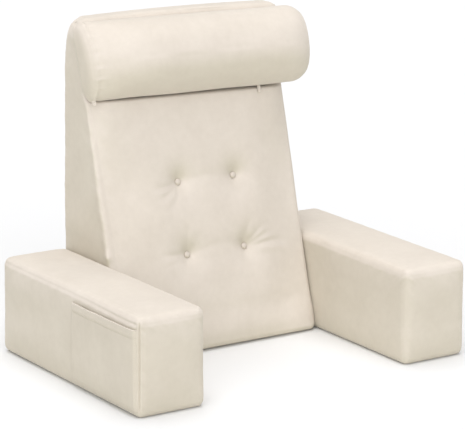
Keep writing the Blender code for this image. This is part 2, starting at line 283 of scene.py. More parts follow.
# Buttons and tabs
BUTTON_RADIUS = 0.0062
BUTTON_STAND = 0.0012
BUTTON_SIDES = 40
BUTTON_PROFILE = (  # from the middle of its top, over its rim, to the middle of its rear
    (0.0, 0.0030), (0.35, 0.0029), (0.62, 0.0026), (0.82, 0.0020), (0.94, 0.0013), (1.0, 0.0006),
    (0.96, 0.0001), (0.80, -0.0004), (0.0, -0.0006),
)
TAB_CUTS = (10, 2, 16)
TAB_THICKNESS = 0.0022
TAB_MIDDLE = 0.55  # the middle's share of the thickness of the turned rim
TAB_RIM_PLACE = (0.75, 0.28)
TAB_CORNER_DRAW = 0.12
LOOP_AT = -0.208  # the loop is the left tab, and the lip tab is the right one
LOOP_WIDTH = 0.008
LOOP_DROP = 0.010
LOOP_OUT = 0.018
LOOP_TOP = 0.462
LIP_TAB_AT = 0.146
LIP_TAB_WIDTH = 0.007
LIP_TAB_HEIGHT = 0.015
LIP_TAB_LIFT = -0.0085
LIP_TAB_GAP = 0.0012
LIP_TAB_REACH = 0.0165

# Cloth and thread. A noise is its scale, detail and roughness.
COVER_COLORS = ((0.733, 0.669, 0.599), (0.670, 0.607, 0.537))  # light and dark
# The buttons wear the cover's cloth; their darker tone is painted shade of the tuft pits they sit in
BUTTON_SHADED_COLORS = ((0.690, 0.625, 0.560), (0.620, 0.555, 0.490))
# Painted shade: a darker, warmer tint on upright and downward faces, standing in for the shade they
# get under the lamps
PAINTED_SHADE_TINT = (0.850, 0.860, 0.792, 1)
PAINTED_SHADE_FADE = (0.40, -0.20)  # in the upward part of the surface's direction
MOTTLE_NOISE = (11, 3, 0.55)
BRUSH_NOISE = (75, 4, 0.6)
NAP_NOISE = (900, 3, 0.7)
FIBRE_SCALE = 1250
COLOR_SHARES = (0.5, 0.3, 0.2)  # of mottle, brush marks and nap
COLOR_RANGE = (0.36, 0.64)
CLOTH_ROUGHNESS = (0.8, 0.16)  # the least, and what the brush marks add
CLOTH_SPECULAR = 0.18
SHEEN = 0.35
SHEEN_ROUGHNESS = 0.45
SHEEN_TINT = (1.0, 0.97, 0.92, 1)
NAP_HEIGHT = 0.6  # against that of the fibres
FINE_BUMP = (0.22, 0.0004)  # strength and distance
SOFT_BUMP = (0.12, 0.002)
THREAD_COLORS = ((0.78, 0.72, 0.62), (0.55, 0.48, 0.38))
THREAD_TWIST = (900, 1.5)  # scale and distortion
THREAD_ROUGHNESS = 0.6

# Studio and the photograph's camera
FLOOR_REACH = 30.0
FLOOR_COLOR = (0.850, 0.855, 0.870, 1)
FLOOR_ROUGHNESS = 0.85
FLOOR_SPECULAR = 0.1
WORLD_COLOR = (1.0, 0.985, 0.955, 1)
WORLD_STRENGTH = 0.37
SUNS = (  # name, direction that it shines from, strength, spread in degrees
    ("key", (0.04, 0.14, 0.98), 1.66, 50),
    ("fill", (-0.52, -0.74, 0.41), 2.30, 90),
)
PHOTO_WIDTH = 465
FOCAL_PIXELS = 2715
SENSOR_WIDTH = 36
CAMERA_TURN = -33.7  # in degrees, as the next two
CAMERA_LIFT = 14.4
CAMERA_ROLL = 0.43
CAMERA_TARGET = (0.00125, 0.231, 0)
CAMERA_DISTANCE = 5.147
CAMERA_ASIDE = 0.1291
CAMERA_ABOVE = 0.2022
CAMERA_CLIP = (0.05, 60)

# What follows from these
REAR_Y = ARM_LENGTH / 2 + BACK_SET_BACK
FACE_FOOT = FOOT_DEPTH - REAR_Y  # before the zero, so negative: the front starts behind it
LEAN = atan2(FOOT_DEPTH - TOP_DEPTH, BACK_HEIGHT)
FACE_OUT = np.array((0.0, -cos(LEAN), sin(LEAN)))
FACE_UP = np.array((0.0, sin(LEAN), cos(LEAN)))
ARM_HALF = np.array((ARM_WIDTH, ARM_LENGTH, ARM_HEIGHT)) / 2


# Maths for soft shapes, on whole columns of numbers

def rise(distance, reach):
    """From 0 at the edge to 1 at `reach` inside it, round at the top."""
    return np.sin(np.pi / 2 * np.clip(distance / reach, 0, 1))


def bump(distance, at, width):
    return np.exp(-((distance - at) / width) ** 2)


def fold(distance, height, at, width):
    return height * bump(distance, at, width)


def smooth(low, high, value):
    """From 0 at `low` to 1 at `high`, level at both ends."""
    t = np.clip((value - low) / (high - low), 0, 1)
    return t * t * (3 - 2 * t)


def mix(low, high, share):
    return low + (high - low) * share


def crowded(s, power):
    """Numbers from -1 to 1, drawn towards both ends."""
    return np.copysign(1 - (1 - np.minimum(1, np.abs(s))) ** power, s)


def waves(a, b, lengths, seed):
    """Gentle unevenness of about -1 to 1 over two coordinates, from a few sine waves."""
    draw = np.random.default_rng(seed)
    directions = 3
    total = 0
    for length in lengths:
        for _ in range(directions):
            turn, start = draw.uniform(0, np.pi), draw.uniform(0, 2 * np.pi)
            along = a * np.cos(turn) + b * np.sin(turn)
            total = total + np.sin(2 * np.pi * along / length + start) / directions
    return total / len(lengths)


def puckers(along, fine, coarse, start):
    """The cloth's gathers along a seam."""
    (low, short), (high, long) = fine, coarse
    small = low * np.sin(along * 2 * np.pi / short)
    return small + high * np.sin(along * 2 * np.pi / long + start)


def cage(cuts):
    """The skin of a cube from -1 to 1, cut into strips along X, Y and Z: points and quads."""
    lines = [np.linspace(-1, 1, count + 1) for count in cuts]
    digits = 9
    points, faces, start = [], [], 0
    for axis in range(3):
        u, v = [a for a in range(3) if a != axis]
        for side in (-1, 1):
            across, up = np.meshgrid(lines[u], lines[v], indexing="ij")
            grid = np.empty((across.size, 3))
            grid[:, axis], grid[:, u], grid[:, v] = side, across.ravel(), up.ravel()
            rows, columns = across.shape
            index = np.arange(rows * columns).reshape(rows, columns) + start
            quads = np.stack((index[:-1, :-1], index[1:, :-1], index[1:, 1:], index[:-1, 1:]), -1)
            points.append(grid)
            faces.append(quads.reshape(-1, 4))
            start += rows * columns
    points = np.round(np.concatenate(points), digits)
    points, where = np.unique(points, axis=0, return_inverse=True)
    return points, where.ravel()[np.concatenate(faces)]


def rounded(flat, half, radius):
    """Points on a box's skin moved onto the same box with round edges, and the directions out."""
    radius = np.broadcast_to(np.reshape(radius, (-1, 1)), (len(flat), 1))
    core = np.clip(flat, -(half - radius), half - radius)
    reach = flat - core
    out = reach / np.maximum(np.linalg.norm(reach, axis=1, keepdims=True), TINY)
    return core + out * radius, out


def edge_distance(flat, half):
    """How far each point on a box's skin is from the nearest edge of that box."""
    return np.sort(half - np.abs(flat), axis=1)[:, 1]


# Pieces

def new_piece(name, points, faces, material, node=None):
    """A smooth mesh with the given material, on the root body. It replaces `node`, if one is named.
    """
    mesh = bpy.data.meshes.new(name)
    mesh.from_pydata([tuple(p) for p in points], [], [tuple(int(i) for i in f) for f in faces])
    bm = bmesh.new()
    bm.from_mesh(mesh)
    bmesh.ops.recalc_face_normals(bm, faces=bm.faces)
    bm.to_mesh(mesh)
    bm.free()
    mesh.shade_smooth()
    mesh.materials.append(material)
    piece = bpy.data.objects.new(name, mesh)
    bpy.context.scene.collection.objects.link(piece)
    if node:
        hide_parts(node)
    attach(piece, "root")
    return piece


# Materials

def new_material(name):
    material = bpy.data.materials.new(name)
    material.use_nodes = True
    tree = material.node_tree
    return material, tree, tree.nodes["Principled BSDF"]


def texture(tree, kind, **values):
    """A texture over the piece's own coordinates."""
    node = tree.nodes.new(f"ShaderNodeTex{kind}")
    for name, value in values.items():
        node.inputs[name].default_value = value
    place = tree.nodes.get("Texture Coordinate") or tree.nodes.new("ShaderNodeTexCoord")
    tree.links.new(place.outputs["Object"], node.inputs["Vector"])
    return node


def noise(tree, scale, detail, roughness):
    return texture(tree, "Noise", Scale=scale, Detail=detail, Roughness=roughness).outputs["Fac"]


def math_node(tree, operation, first, second):
    node = tree.nodes.new("ShaderNodeMath")
    node.operation = operation
    for socket, value in zip(node.inputs, (first, second)):
        if isinstance(value, (int, float)):
            socket.default_value = value
        else:
            tree.links.new(value, socket)
    return node.outputs[0]


def color_ramp(tree, share, light, dark, low=0.0, high=1.0):
    ramp = tree.nodes.new("ShaderNodeValToRGB")
    for element, place, color in zip(ramp.color_ramp.elements, (low, high), (dark, light)):
        element.position = place
        element.color = (*color, 1)
    tree.links.new(share, ramp.inputs["Fac"])
    return ramp.outputs["Color"]


def bump_node(tree, height, strength, distance):
    node = tree.nodes.new("ShaderNodeBump")
    node.inputs["Strength"].default_value = strength
    node.inputs["Distance"].default_value = distance
    tree.links.new(height, node.inputs["Height"])
    return node


def suede(name, light, dark):
    """Brushed microfibre: a short nap that lies this way and that, over a fine close weave, with
    painted shade where it stands upright or faces down.
    """
    material, tree, shader = new_material(name)
    mottle, brushed, nap = (noise(tree, *n) for n in (MOTTLE_NOISE, BRUSH_NOISE, NAP_NOISE))
    fibre = texture(tree, "Voronoi", Scale=FIBRE_SCALE)
    parts = [math_node(tree, "MULTIPLY", part, share)
             for part, share in zip((mottle, brushed, nap), COLOR_SHARES)]
    share = math_node(tree, "ADD", math_node(tree, "ADD", parts[0], parts[1]), parts[2])
    # painted shade on upright and downward faces, over the cloth's random tone
    color = painted_upright_shade(tree, color_ramp(tree, share, light, dark, *COLOR_RANGE))
    tree.links.new(color, shader.inputs["Base Color"])
    least, added = CLOTH_ROUGHNESS
    rough = math_node(tree, "ADD", math_node(tree, "MULTIPLY", brushed, added), least)
    tree.links.new(rough, shader.inputs["Roughness"])
    shader.inputs["Specular IOR Level"].default_value = CLOTH_SPECULAR
    shader.inputs["Sheen Weight"].default_value = SHEEN
    shader.inputs["Sheen Roughness"].default_value = SHEEN_ROUGHNESS
    shader.inputs["Sheen Tint"].default_value = SHEEN_TINT
    height = math_node(tree, "MULTIPLY", nap, NAP_HEIGHT)
    height = math_node(tree, "ADD", height, fibre.outputs["Distance"])
    fine = bump_node(tree, height, *FINE_BUMP)
    soft = bump_node(tree, brushed, *SOFT_BUMP)
    tree.links.new(fine.outputs["Normal"], soft.inputs["Normal"])
    tree.links.new(soft.outputs["Normal"], shader.inputs["Normal"])
    return material


def painted_upright_shade(tree, color):
    """Painted shade: darkens and warms upright and downward-facing cloth, standing in for the shade
    that falls there.
    """
    facing = tree.nodes.new("ShaderNodeSeparateXYZ")
    tree.links.new(tree.nodes.new("ShaderNodeNewGeometry").outputs["Normal"], facing.inputs[0])
    upright = tree.nodes.new("ShaderNodeMapRange")
    upright.interpolation_type = "SMOOTHSTEP"
    upright.inputs["From Min"].default_value = PAINTED_SHADE_FADE[0]
    upright.inputs["From Max"].default_value = PAINTED_SHADE_FADE[1]
    tree.links.new(facing.outputs["Z"], upright.inputs["Value"])
    mixed = tree.nodes.new("ShaderNodeMix")
    mixed.data_type = "RGBA"
    mixed.blend_type = "MULTIPLY"
    mixed.inputs["B"].default_value = PAINTED_SHADE_TINT
    tree.links.new(upright.outputs["Result"], mixed.inputs["Factor"])
    tree.links.new(color, mixed.inputs["A"])
    return mixed.outputs["Result"]


def thread():
    """Twisted sewing thread."""
    material, tree, shader = new_material("thread")
    scale, distortion = THREAD_TWIST
    twist = texture(tree, "Wave", Scale=scale, Distortion=distortion)
    color = color_ramp(tree, twist.outputs["Fac"], *THREAD_COLORS)
    tree.links.new(color, shader.inputs["Base Color"])
    shader.inputs["Roughness"].default_value = THREAD_ROUGHNESS
    return material


# Backrest

def back_depth(z):
    return mix(FOOT_DEPTH, TOP_DEPTH, z / BACK_HEIGHT)


def front_round(z):
    return mix(*BACK_ROUND, smooth(*BACK_ROUND_FADE, z))


def on_face(x, z, out):
    """Points over the leaning front's flat plane, `out` metres in front of it."""
    place = np.stack(np.broadcast_arrays(x, REAR_Y - back_depth(z), z), -1)
    return place + np.multiply.outer(out, FACE_OUT)


def lip_height(x):
    return LIP_HEIGHT - LIP_DROP * x


def crease_relief(x, z):
    """Shallow folds that run out from the buttons: a valley with a low ridge under it."""
    relief = np.zeros_like(x)
    for (x0, z0), (x1, z1), depth, width in CREASES:
        along = np.array((x1 - x0, z1 - z0))
        length = np.hypot(*along)
        along = along / length
        t = ((x - x0) * along[0] + (z - z0) * along[1]) / length
        bow = CREASE_BOW * length * np.sin(np.pi * np.clip(t, 0, 1))
        off = (x - x0) * -along[1] + (z - z0) * along[0] - bow
        off = off * (1 if along[0] > 0 else -1)
        fade = smooth(*CREASE_START_FADE, t) * smooth(*CREASE_END_FADE, t)
        spread = width * (1 + CREASE_SPREAD * np.clip(t, 0, 1))
        relief -= depth * fade * bump(off, 0, VALLEY_WIDTH * spread)
        ridge = bump(off, -RIDGE_AT * width, RIDGE_WIDTH * spread)
        relief += RIDGE_HEIGHT * depth * fade * ridge
    return relief


def front_relief(x, z):
    """How far the stuffed front stands out of its plane, with its lip, rows, creases and tufts."""
    side = BACK_WIDTH / 2 - np.abs(x)
    below_lip = lip_height(x) - z
    crown, filled = smooth(0, CROWN_SHOULDER, side), rise(side, LIP_FILL)
    across = mix(crown, filled, smooth(*LIP_FILL_FADE, below_lip))
    swell = across * rise(z, CROWN_REACH) * rise(below_lip, LIP_SHOULDER)
    foot = FACE_FOOT_PUSH * smooth(*FACE_FOOT_FADE, z) * smooth(0, FACE_FOOT_EDGE, side)
    relief = FRONT_CROWN * swell + foot
    for row in TUFT_ROWS:
        spread = smooth(*ROW_FADE, np.abs(x - ROW_MIDDLE))
        relief -= ROW_DIP * spread * bump(z, row, ROW_WIDTH)
    relief += crease_relief(x, z) * smooth(*CREASE_EDGE_FADE, side)
    relief += FACE_UNEVEN * waves(x, z, *FACE_WAVES) * rise(side, FACE_WAVE_EDGE)
    nearest = np.min([np.hypot(x - tx, z - tz) for tx, tz in TUFTS], axis=0)
    pulled = np.exp(-(np.maximum(0, nearest - TUFT_PIT) / TUFT_PIT_REACH) ** TUFT_PIT_POWER)
    return mix(relief, TUFT_FLOOR, pulled)


def gathered(x, z):
    """Draws the cage's lines towards the tufts, where the shape needs them."""
    for tx, tz in TUFTS:
        pull = TUFT_GATHER * np.exp(-((x - tx) ** 2 + (z - tz) ** 2) / TUFT_GATHER_REACH ** 2)
        x = x + (tx - x) * pull
        z = z + (tz - z) * pull
    return x, z


def back_skin(s):
    """Maps points of the cage to the backrest's cover."""
    left = s[:, 0] < 0
    side = np.where(left, -1.0, 1.0)
    x = crowded(s[:, 0], BACK_CROWDING[0]) * BACK_WIDTH / 2
    z = (crowded(s[:, 2], BACK_CROWDING[2]) + 1) * BACK_HEIGHT / 2
    lip = lip_height(x)
    z = z - LIP_CROWDING * (z - lip) * bump(z, lip, LIP_CROWDING_REACH)
    on_front, on_rear = s[:, 1] < -ON_SKIN, s[:, 1] > ON_SKIN
    inside = on_front & (np.abs(s[:, 0]) < ON_SKIN) & (np.abs(s[:, 2]) < ON_SKIN)
    gx, gz = gathered(x, z)
    x, z = np.where(inside, gx, x), np.where(inside, gz, z)

    # A wedge with round edges
    half = np.stack(np.broadcast_arrays(BACK_WIDTH / 2, back_depth(z) / 2, BACK_HEIGHT / 2), -1)
    flat = np.stack((x, crowded(s[:, 1], BACK_CROWDING[1]) * half[:, 1], z - half[:, 2]), -1)
    edge = np.where(s[:, 1] < 0, front_round(z), BACK_REAR_ROUND)
    upper = mix(edge, BACK_TOP_ROUND, smooth(*BACK_TOP_ROUND_FADE, z / BACK_HEIGHT))
    lower = mix(BACK_FLOOR_ROUND, edge, z / half[:, 2])
    p, out = rounded(flat, half, np.where(flat[:, 2] > 0, upper, lower))

    # Its head: arched and tilted at the top, spread at the front, drawn in at the rear
    to_side = half[:, 0] - np.abs(x)
    top = smooth(BACK_HEAD_FROM, BACK_HEIGHT, z)
    height = p[:, 2] + half[:, 2]
    height = height + top * (BACK_TOP_RISE * (1 - (x / half[:, 0]) ** 2) - BACK_TOP_TILT * x)
    y = REAR_Y + (p[:, 1] / half[:, 1] - 1) * back_depth(height) / 2
    place = np.stack((p[:, 0], y, height), -1)
    head = mix(np.where(left, *BACK_SPREAD), -np.where(left, *BACK_DRAW_IN), (s[:, 1] + 1) / 2)
    place[:, 0] += side * head * top * np.abs(x) / half[:, 0]
    slump = np.where(left, *BACK_SLUMP) * smooth(SLUMP_REACH, 0, to_side)
    slump = slump * smooth(SLUMP_REACH, 0, BACK_HEIGHT - z)
    place[:, 0] -= slump * side
    place[:, 2] -= slump

    # Its stuffed panels
    place += np.multiply.outer(np.where(on_front, front_relief(x, z), 0), FACE_OUT)
    rear = REAR_CROWN * rise(to_side, CROWN_REACH) * rise(z, CROWN_REACH)
    rear = rear * rise(BACK_HEIGHT - z, CROWN_REACH)
    rear = rear + REAR_UNEVEN * waves(x, z, *REAR_WAVES) * rise(to_side, REAR_WAVE_EDGE)
    place[:, 1] += np.where(on_rear, rear, 0)
    start, end = SIDE_FREE_FADE
    free = smooth(ARM_HEIGHT + start, ARM_HEIGHT + end, z) * rise(1 - np.abs(s[:, 1]), 0.5)
    swell = SIDE_UNEVEN * free * (SIDE_SWELL + waves(place[:, 1], z, *SIDE_WAVES))
    place[:, 0] += side * np.where(np.abs(s[:, 0]) > ON_SKIN, swell, 0)
    return place + back_seams(place, flat, half, out, z)


def back_seams(place, flat, half, out, z):
    """The sewn edges: a corded bead down each front edge and a narrow seam along the others."""
    to_side = half[:, 0] - np.abs(flat[:, 0])
    to_front = flat[:, 1] + half[:, 1]
    over = to_side - to_front
    off_floor = smooth(*BACK_FLOOR_FADE, z)
    pucker = puckers(place[:, 2] + place[:, 0], *BACK_PUCKERS, 1)

    # The bead, which bulges where it meets the arm
    size = front_round(z)
    ridge = (BEAD_RISE + pucker) * bump(over / size, *BEAD_PLACE)
    groove = np.where(over > BEAD_GROOVE_AT * size, *BEAD_GROOVE_WIDTH)
    ridge -= BEAD_GROOVE_DEPTH * bump(over / size, BEAD_GROOVE_AT, groove)
    ridge += pucker * sum(bump(over, *where) for where in BEAD_PUCKER_PLACES)
    foot = bump(place[:, 2], ARM_HEIGHT + BULGE_LIFT, BULGE_LENGTH)
    ridge += BULGE_RISE * foot * bump(over, *BULGE_PLACE)
    near_front = smooth(half[:, 1], 0.0, to_front) * off_floor
    ridge *= near_front * smooth(*BEAD_LIP_FADE, z - lip_height(flat[:, 0]))
    right = mix(*RIGHT_BEAD, smooth(*RIGHT_BEAD_FADE, z))
    ridge *= np.where(flat[:, 0] < 0, 1.0, right)

    # The other seams, the top's corners and the side's fold
    distance = edge_distance(flat, half)
    other = smooth(*REAR_SEAM_FADE, to_front / (2 * half[:, 1])) * off_floor
    other = other * mix(1.0, REAR_SEAM_THIN, smooth(*REAR_SEAM_THIN_FADE, z))
    ridge += other * (fold(distance, *REAR_RIM_FOLD) - fold(distance, *REAR_GROOVE_FOLD))
    ridge += other * pucker * bump(distance, *REAR_PUCKER_PLACE)
    to_corner = np.hypot(np.minimum(to_side, CORNER_SIDE_REACH), BACK_HEIGHT - z)
    uneven = waves(flat[:, 1], z + flat[:, 0], *CORNER_WAVES)
    ridge += CORNER_UNEVEN * np.exp(-to_corner / CORNER_REACH) * uneven
    on_left = flat[:, 0] < SIDE_FOLD_EDGE - half[:, 0]
    ridge -= np.where(on_left, side_fold(place[:, 1], place[:, 2]), 0)
    return out * ridge[:, None]


def side_fold(y, z):
    """The soft fold down the left side panel, beside the neck roll's end."""
    (foot_y, foot_z), (top_y, top_z) = SIDE_FOLD_FOOT, SIDE_FOLD_TOP
    t = (z - foot_z) / (top_z - foot_z)
    middle = mix(foot_y, top_y, t) + SIDE_FOLD_BOW * np.sin(np.pi * np.clip(t, 0, 1))
    depth = SIDE_FOLD_DEPTH * smooth(*SIDE_FOLD_START_FADE, t) * smooth(*SIDE_FOLD_END_FADE, t)
    return depth * bump(y - middle, 0, SIDE_FOLD_WIDTH)


def make_backrest(material):
    s, faces = cage(BACK_CUTS)
    piece = new_piece("backrest_cover", back_skin(s) + HOME, faces, material, "backrest")


# Arms

def arm_surface(flat, outward, seams=True):
    """Rounds, crowns and seams points on an arm's plain box, and moves it beside the backrest."""
    half = ARM_HALF
    radius = mix(ARM_FLOOR_ROUND, ARM_ROUND, smooth(-half[2], 0, flat[:, 2]))
    p, out = rounded(flat, half, radius)
    inset = half - np.abs(flat)
    swell = rise(inset, ARM_SHOULDER)
    on = inset < TINY
    outer = on[:, 0] & (flat[:, 0] * outward > 0)
    inner = on[:, 0] & ~outer
    free = smooth(FACE_FOOT, FACE_FOOT + ARM_INNER_REACH, -flat[:, 1])
    p[:, 0] += np.where(outer, outward * ARM_CROWN * swell[:, 1] * swell[:, 2], 0)
    flatter = outward * ARM_INNER_CROWN * swell[:, 1] * swell[:, 2] * free
    p[:, 0] -= np.where(inner, flatter, 0)
    ends = np.sign(flat[:, 1]) * ARM_CROWN * swell[:, 0] * swell[:, 2]
    p[:, 1] += np.where(on[:, 1], ends, 0)
    p[:, 2] += np.where(on[:, 2] & (flat[:, 2] > 0), ARM_CROWN * swell[:, 0] * swell[:, 1], 0)
    if seams:
        p += out * arm_seams(flat, outward)[:, None]
    middle = BACK_WIDTH / 2 + SEAM_GAP + half[0]
    return p + HOME + np.array((outward * middle, 0, half[2]))


def arm_seams(flat, outward):
    """Plump rims round the top, sewn grooves up the outer posts, and soft unevenness."""
    toward = np.array((outward, 1.0, 1.0))
    near, far = ARM_HALF - flat * toward, ARM_HALF + flat * toward
    start, end = ARM_TOUCHING_FADE
    touching = smooth(FACE_FOOT + start, FACE_FOOT + end, -flat[:, 1])
    open_air = np.maximum(smooth(*ARM_BESIDE_FADE, far[:, 0]), touching)
    open_air = smooth(*ARM_FLOOR_FADE, far[:, 2]) * open_air
    pucker = puckers(flat.sum(axis=1), *ARM_PUCKERS, outward)
    front = smooth(*ARM_FRONT_FADE, flat[:, 1])
    relief = np.zeros(len(flat))

    # The rims round the top: outer, inner, rear and front
    to_ends = np.minimum(near[:, 1], far[:, 1])
    to_sides = np.minimum(near[:, 0], far[:, 0])
    for to_side, ends, groove in (
        (near[:, 0], to_ends, mix(*ARM_OUTER_GROOVE, front)),
        (far[:, 0], to_ends, ARM_INNER_GROOVE),
        (near[:, 1], to_sides, ARM_REAR_GROOVE),
        (far[:, 1], to_sides, ARM_FRONT_GROOVE),
    ):
        over = to_side - near[:, 2]
        on = (np.minimum(to_side, near[:, 2]) < TINY) * smooth(*RIM_END_FADE, ends)
        under = mix(*RIM_UNDER_AT, front)
        rim = (RIM_RISE + pucker) * bump(over, *RIM_PLACE)
        sewn = fold(over, *RIM_TOP_FOLD) + fold(over, RIM_UNDER_DEPTH, under, RIM_UNDER_WIDTH)
        rim -= groove * sewn
        rim += pucker * bump(over, under - RIM_PUCKER_DROP, RIM_PUCKER_WIDTH)
        relief += on * rim

    # The posts and the top's corners: a groove between two rims outside, one soft rim inside
    for to_x, sewn in ((near[:, 0], True), (far[:, 0], False)):
        for to_y in (near[:, 1], far[:, 1]):
            over = to_x - to_y
            on = (np.minimum(to_x, to_y) < TINY) * smooth(*POST_TOP_FADE, near[:, 2])
            rim = fold(over, *POST_SOFT_FOLD)
            if sewn:
                rim = POST_RISE * (bump(over, *POST_PLACE) + bump(-over, *POST_PLACE))
                rim -= fold(over, *POST_GROOVE_FOLD)
            rim += pucker * (bump(over, *POST_PUCKER_PLACE) + bump(-over, *POST_PUCKER_PLACE))
            relief += on * rim
            corner = np.sqrt(to_x ** 2 + to_y ** 2 + near[:, 2] ** 2)
            relief += fold(corner, KNOB_RISE, 0, KNOB_REACH)
    uneven = ARM_UNEVEN * waves(flat[:, 0] + flat[:, 2], flat[:, 1], *ARM_WAVES)
    return open_air * (relief + uneven * rise(edge_distance(flat, ARM_HALF), ARM_WAVE_EDGE))


def make_arm(name, outward, material):
    s, faces = cage(ARM_CUTS)
    points = arm_surface(crowded(s, ARM_CROWDING) * ARM_HALF, outward)
    piece = new_piece(f"{name}_cover", points, faces, material, name)


# Pocket

def pocket_skin(layer, across, z):
    """Points of the pocket, from its lining (layer 0) to its outside (1), slack at its mouth."""
    up = (z - POCKET_FOOT) / (POCKET_MOUTH - POCKET_FOOT)
    y = -ARM_HALF[1] + POCKET_FRONT_INSET + POCKET_LENGTH * across
    flat = np.stack((np.full_like(y, -ARM_HALF[0]), y, z - ARM_HALF[2]), -1)
    place = arm_surface(flat, -1, seams=False)
    inner = rise(1 - np.abs(2 * across - 1), 0.5)
    slack = POCKET_SLACK * inner * up ** 4
    slack = slack + POCKET_RIPPLE * inner * np.sin(across * POCKET_RIPPLES) * up ** 2
    slack = slack + POCKET_UNEVEN * inner * waves(y, z, *POCKET_WAVES)
    hem_foot = POCKET_MOUTH - POCKET_HEM
    hem = smooth(hem_foot - POCKET_HEM_FOLD, hem_foot, z)
    border = np.minimum(np.minimum(across, 1 - across) * POCKET_LENGTH, z - POCKET_FOOT)
    edge = mix(POCKET_EDGE_SHARE, 1.0, smooth(0.0, POCKET_EDGE, border))
    thick = (POCKET_THICKNESS + POCKET_HEM_THICKNESS * hem) * edge
    dent = fold(border, *STITCH_DENT_FOLD) * layer
    place[:, 0] -= POCKET_LINING + slack + thick * layer - dent
    return place


def make_pocket(material):
    s, faces = cage(POCKET_CUTS)
    along, upwards = POCKET_CROWDING
    across = (crowded(s[:, 1], along) + 1) / 2
    z = mix(POCKET_FOOT, POCKET_MOUTH, (crowded(s[:, 2], upwards) + 1) / 2)
    points = pocket_skin((1 - s[:, 0]) / 2, across, z)
    piece = new_piece("pocket_cloth", points, faces, material, "pocket")


def stitch_lines():
    """Where each stitch starts and ends: up the sides, along the foot, and twice at the hem."""
    step = STITCH_LENGTH + STITCH_GAP
    hem_foot = POCKET_MOUTH - POCKET_HEM
    low, high = HEM_ROWS
    for z in (POCKET_FOOT + STITCH_INSET, hem_foot + low, hem_foot + high):
        for a in np.arange(STITCH_INSET, POCKET_LENGTH - STITCH_INSET, step):
            yield (a, z), (a + STITCH_LENGTH, z)
    for a in (STITCH_INSET, POCKET_LENGTH - STITCH_INSET):
        for z in np.arange(POCKET_FOOT + STITCH_INSET, POCKET_MOUTH - STITCH_INSET, step):
            yield (a, z), (a, z + STITCH_LENGTH)


def make_stitches(material):
    """The pocket's stitches, each a short bowed tube of thread that dips in at both ends."""
    points, faces = [], []
    rings, sides = len(STITCH_RINGS), STITCH_SIDES
    outwards = np.array((1.0, 0.0, 0.0))
    for start, end in stitch_lines():
        path = np.linspace(start, end, rings)
        spine = pocket_skin(np.ones(rings), path[:, 0] / POCKET_LENGTH, path[:, 1])
        spine[:, 0] -= STITCH_RADIUS * np.array([lift for lift, _ in STITCH_RINGS])
        along = spine[-1] - spine[0]
        along /= np.linalg.norm(along)
        sideways = np.cross(along, outwards)
        first = len(points)
        for ring, (_, width) in zip(spine, STITCH_RINGS):
            for k in range(sides):
                turn = k * 2 * np.pi / sides
                spoke = cos(turn) * sideways + sin(turn) * outwards
                points.append(ring + STITCH_RADIUS * width * spoke)
        for ring in range(rings - 1):
            for k in range(sides):
                a, b = first + sides * ring + k, first + sides * ring + (k + 1) % sides
                faces.append((a, b, b + sides, a + sides))
        last = first + sides * (rings - 1)
        faces.append(tuple(range(first, first + sides)))
        faces.append(tuple(range(last + sides - 1, last - 1, -1)))
    new_piece("pocket_stitches", points, faces, material)


# Neck roll

def roll_skin(ring_at, angle):
    """Points of the neck roll: ring_at goes from -1 at the left tip to 1, angle turns about X."""
    left = ring_at < 0
    side = np.where(left, -1.0, 1.0)
    forward, upward = np.cos(angle), np.sin(angle)
    inwards = ROLL_LENGTH / 2 * (1 - np.abs(ring_at)) ** ROLL_CROWDING
    near = np.minimum(1, inwards / ROLL_TAPER)
    round_end = 1 - (1 - np.minimum(1, inwards / np.where(left, *ROLL_CORNER))) ** 2

    # Its section: how far it reaches forwards, rearwards, up and down
    cap = ROLL_CAP * (1 - (1 - np.minimum(1, inwards / ROLL_CAP_ROUND)) ** 2) ** ROLL_CAP_POWER
    cap = cap + (ROLL_FRONT_DEPTH - ROLL_CAP) * rise(inwards, ROLL_CAP_REACH)
    tapered = ROLL_FRONT_DEPTH * np.sqrt(1 - (1 - near) ** ROLL_END_POWER)
    front = np.where(left, cap, tapered)
    depth = np.where(forward > 0, front, ROLL_REAR_DEPTH * np.sqrt(round_end))
    tall = ROLL_HALF_HEIGHT + ROLL_GROWTH * (ROLL_SHIFT + side * (ROLL_LENGTH / 2 - inwards))
    height = tall * round_end ** (1 / np.where(left, *ROLL_SQUARE))
    to_right = (1 + side * (1 - inwards / (ROLL_LENGTH / 2))) / 2
    lift = mix(*ROLL_TOP_LIFT, to_right) * height / tall
    height = height + np.where(upward > 0, lift, 0)
    rear_top = (forward < 0) & (upward > 0)
    power = 2 / np.where(rear_top, ROLL_REAR_TOP_SQUARENESS, ROLL_SQUARENESS)

    # Its seams, gathers and unevenness
    seam = fold(inwards, *ROLL_RIM_FOLD) - fold(inwards, *ROLL_GROOVE_FOLD)
    seam = seam - fold(inwards, *ROLL_FURROW_FOLD)
    gather = sum(tuck * np.sin(angle * count + start) for tuck, count, start in ROLL_GATHERS)
    seam = seam + gather * bump(inwards, *ROLL_GATHER_PLACE)
    scale_along, scale_round = ROLL_WAVE_SCALE
    uneven = ROLL_UNEVEN * waves(ring_at * scale_along, angle * scale_round, *ROLL_WAVES)
    swell = 1 + (np.where(left, *ROLL_SEAM_SHARE) * seam + uneven * near) / ROLL_HALF_HEIGHT

    # Its place on the leaning front, where its rear lies flat
    out = np.copysign(np.abs(forward) ** power, forward) * depth * swell
    up = np.copysign(np.abs(upward) ** power, upward) * height * swell
    stand_off = mix(np.where(left, *ROLL_TIP), ROLL_STAND_OFF, rise(near, 1))
    out = np.maximum(stand_off + out, SEAM_GAP)
    leaning = np.where(left, *ROLL_TOP_REACH) * (1 - near) * up / ROLL_HALF_HEIGHT
    across = ROLL_SHIFT + side * (ROLL_LENGTH / 2 - inwards + leaning)
    place = on_face(across, ROLL_FACE_HEIGHT - ROLL_DROP * across, out)
    return place + np.multiply.outer(up, FACE_UP) + HOME


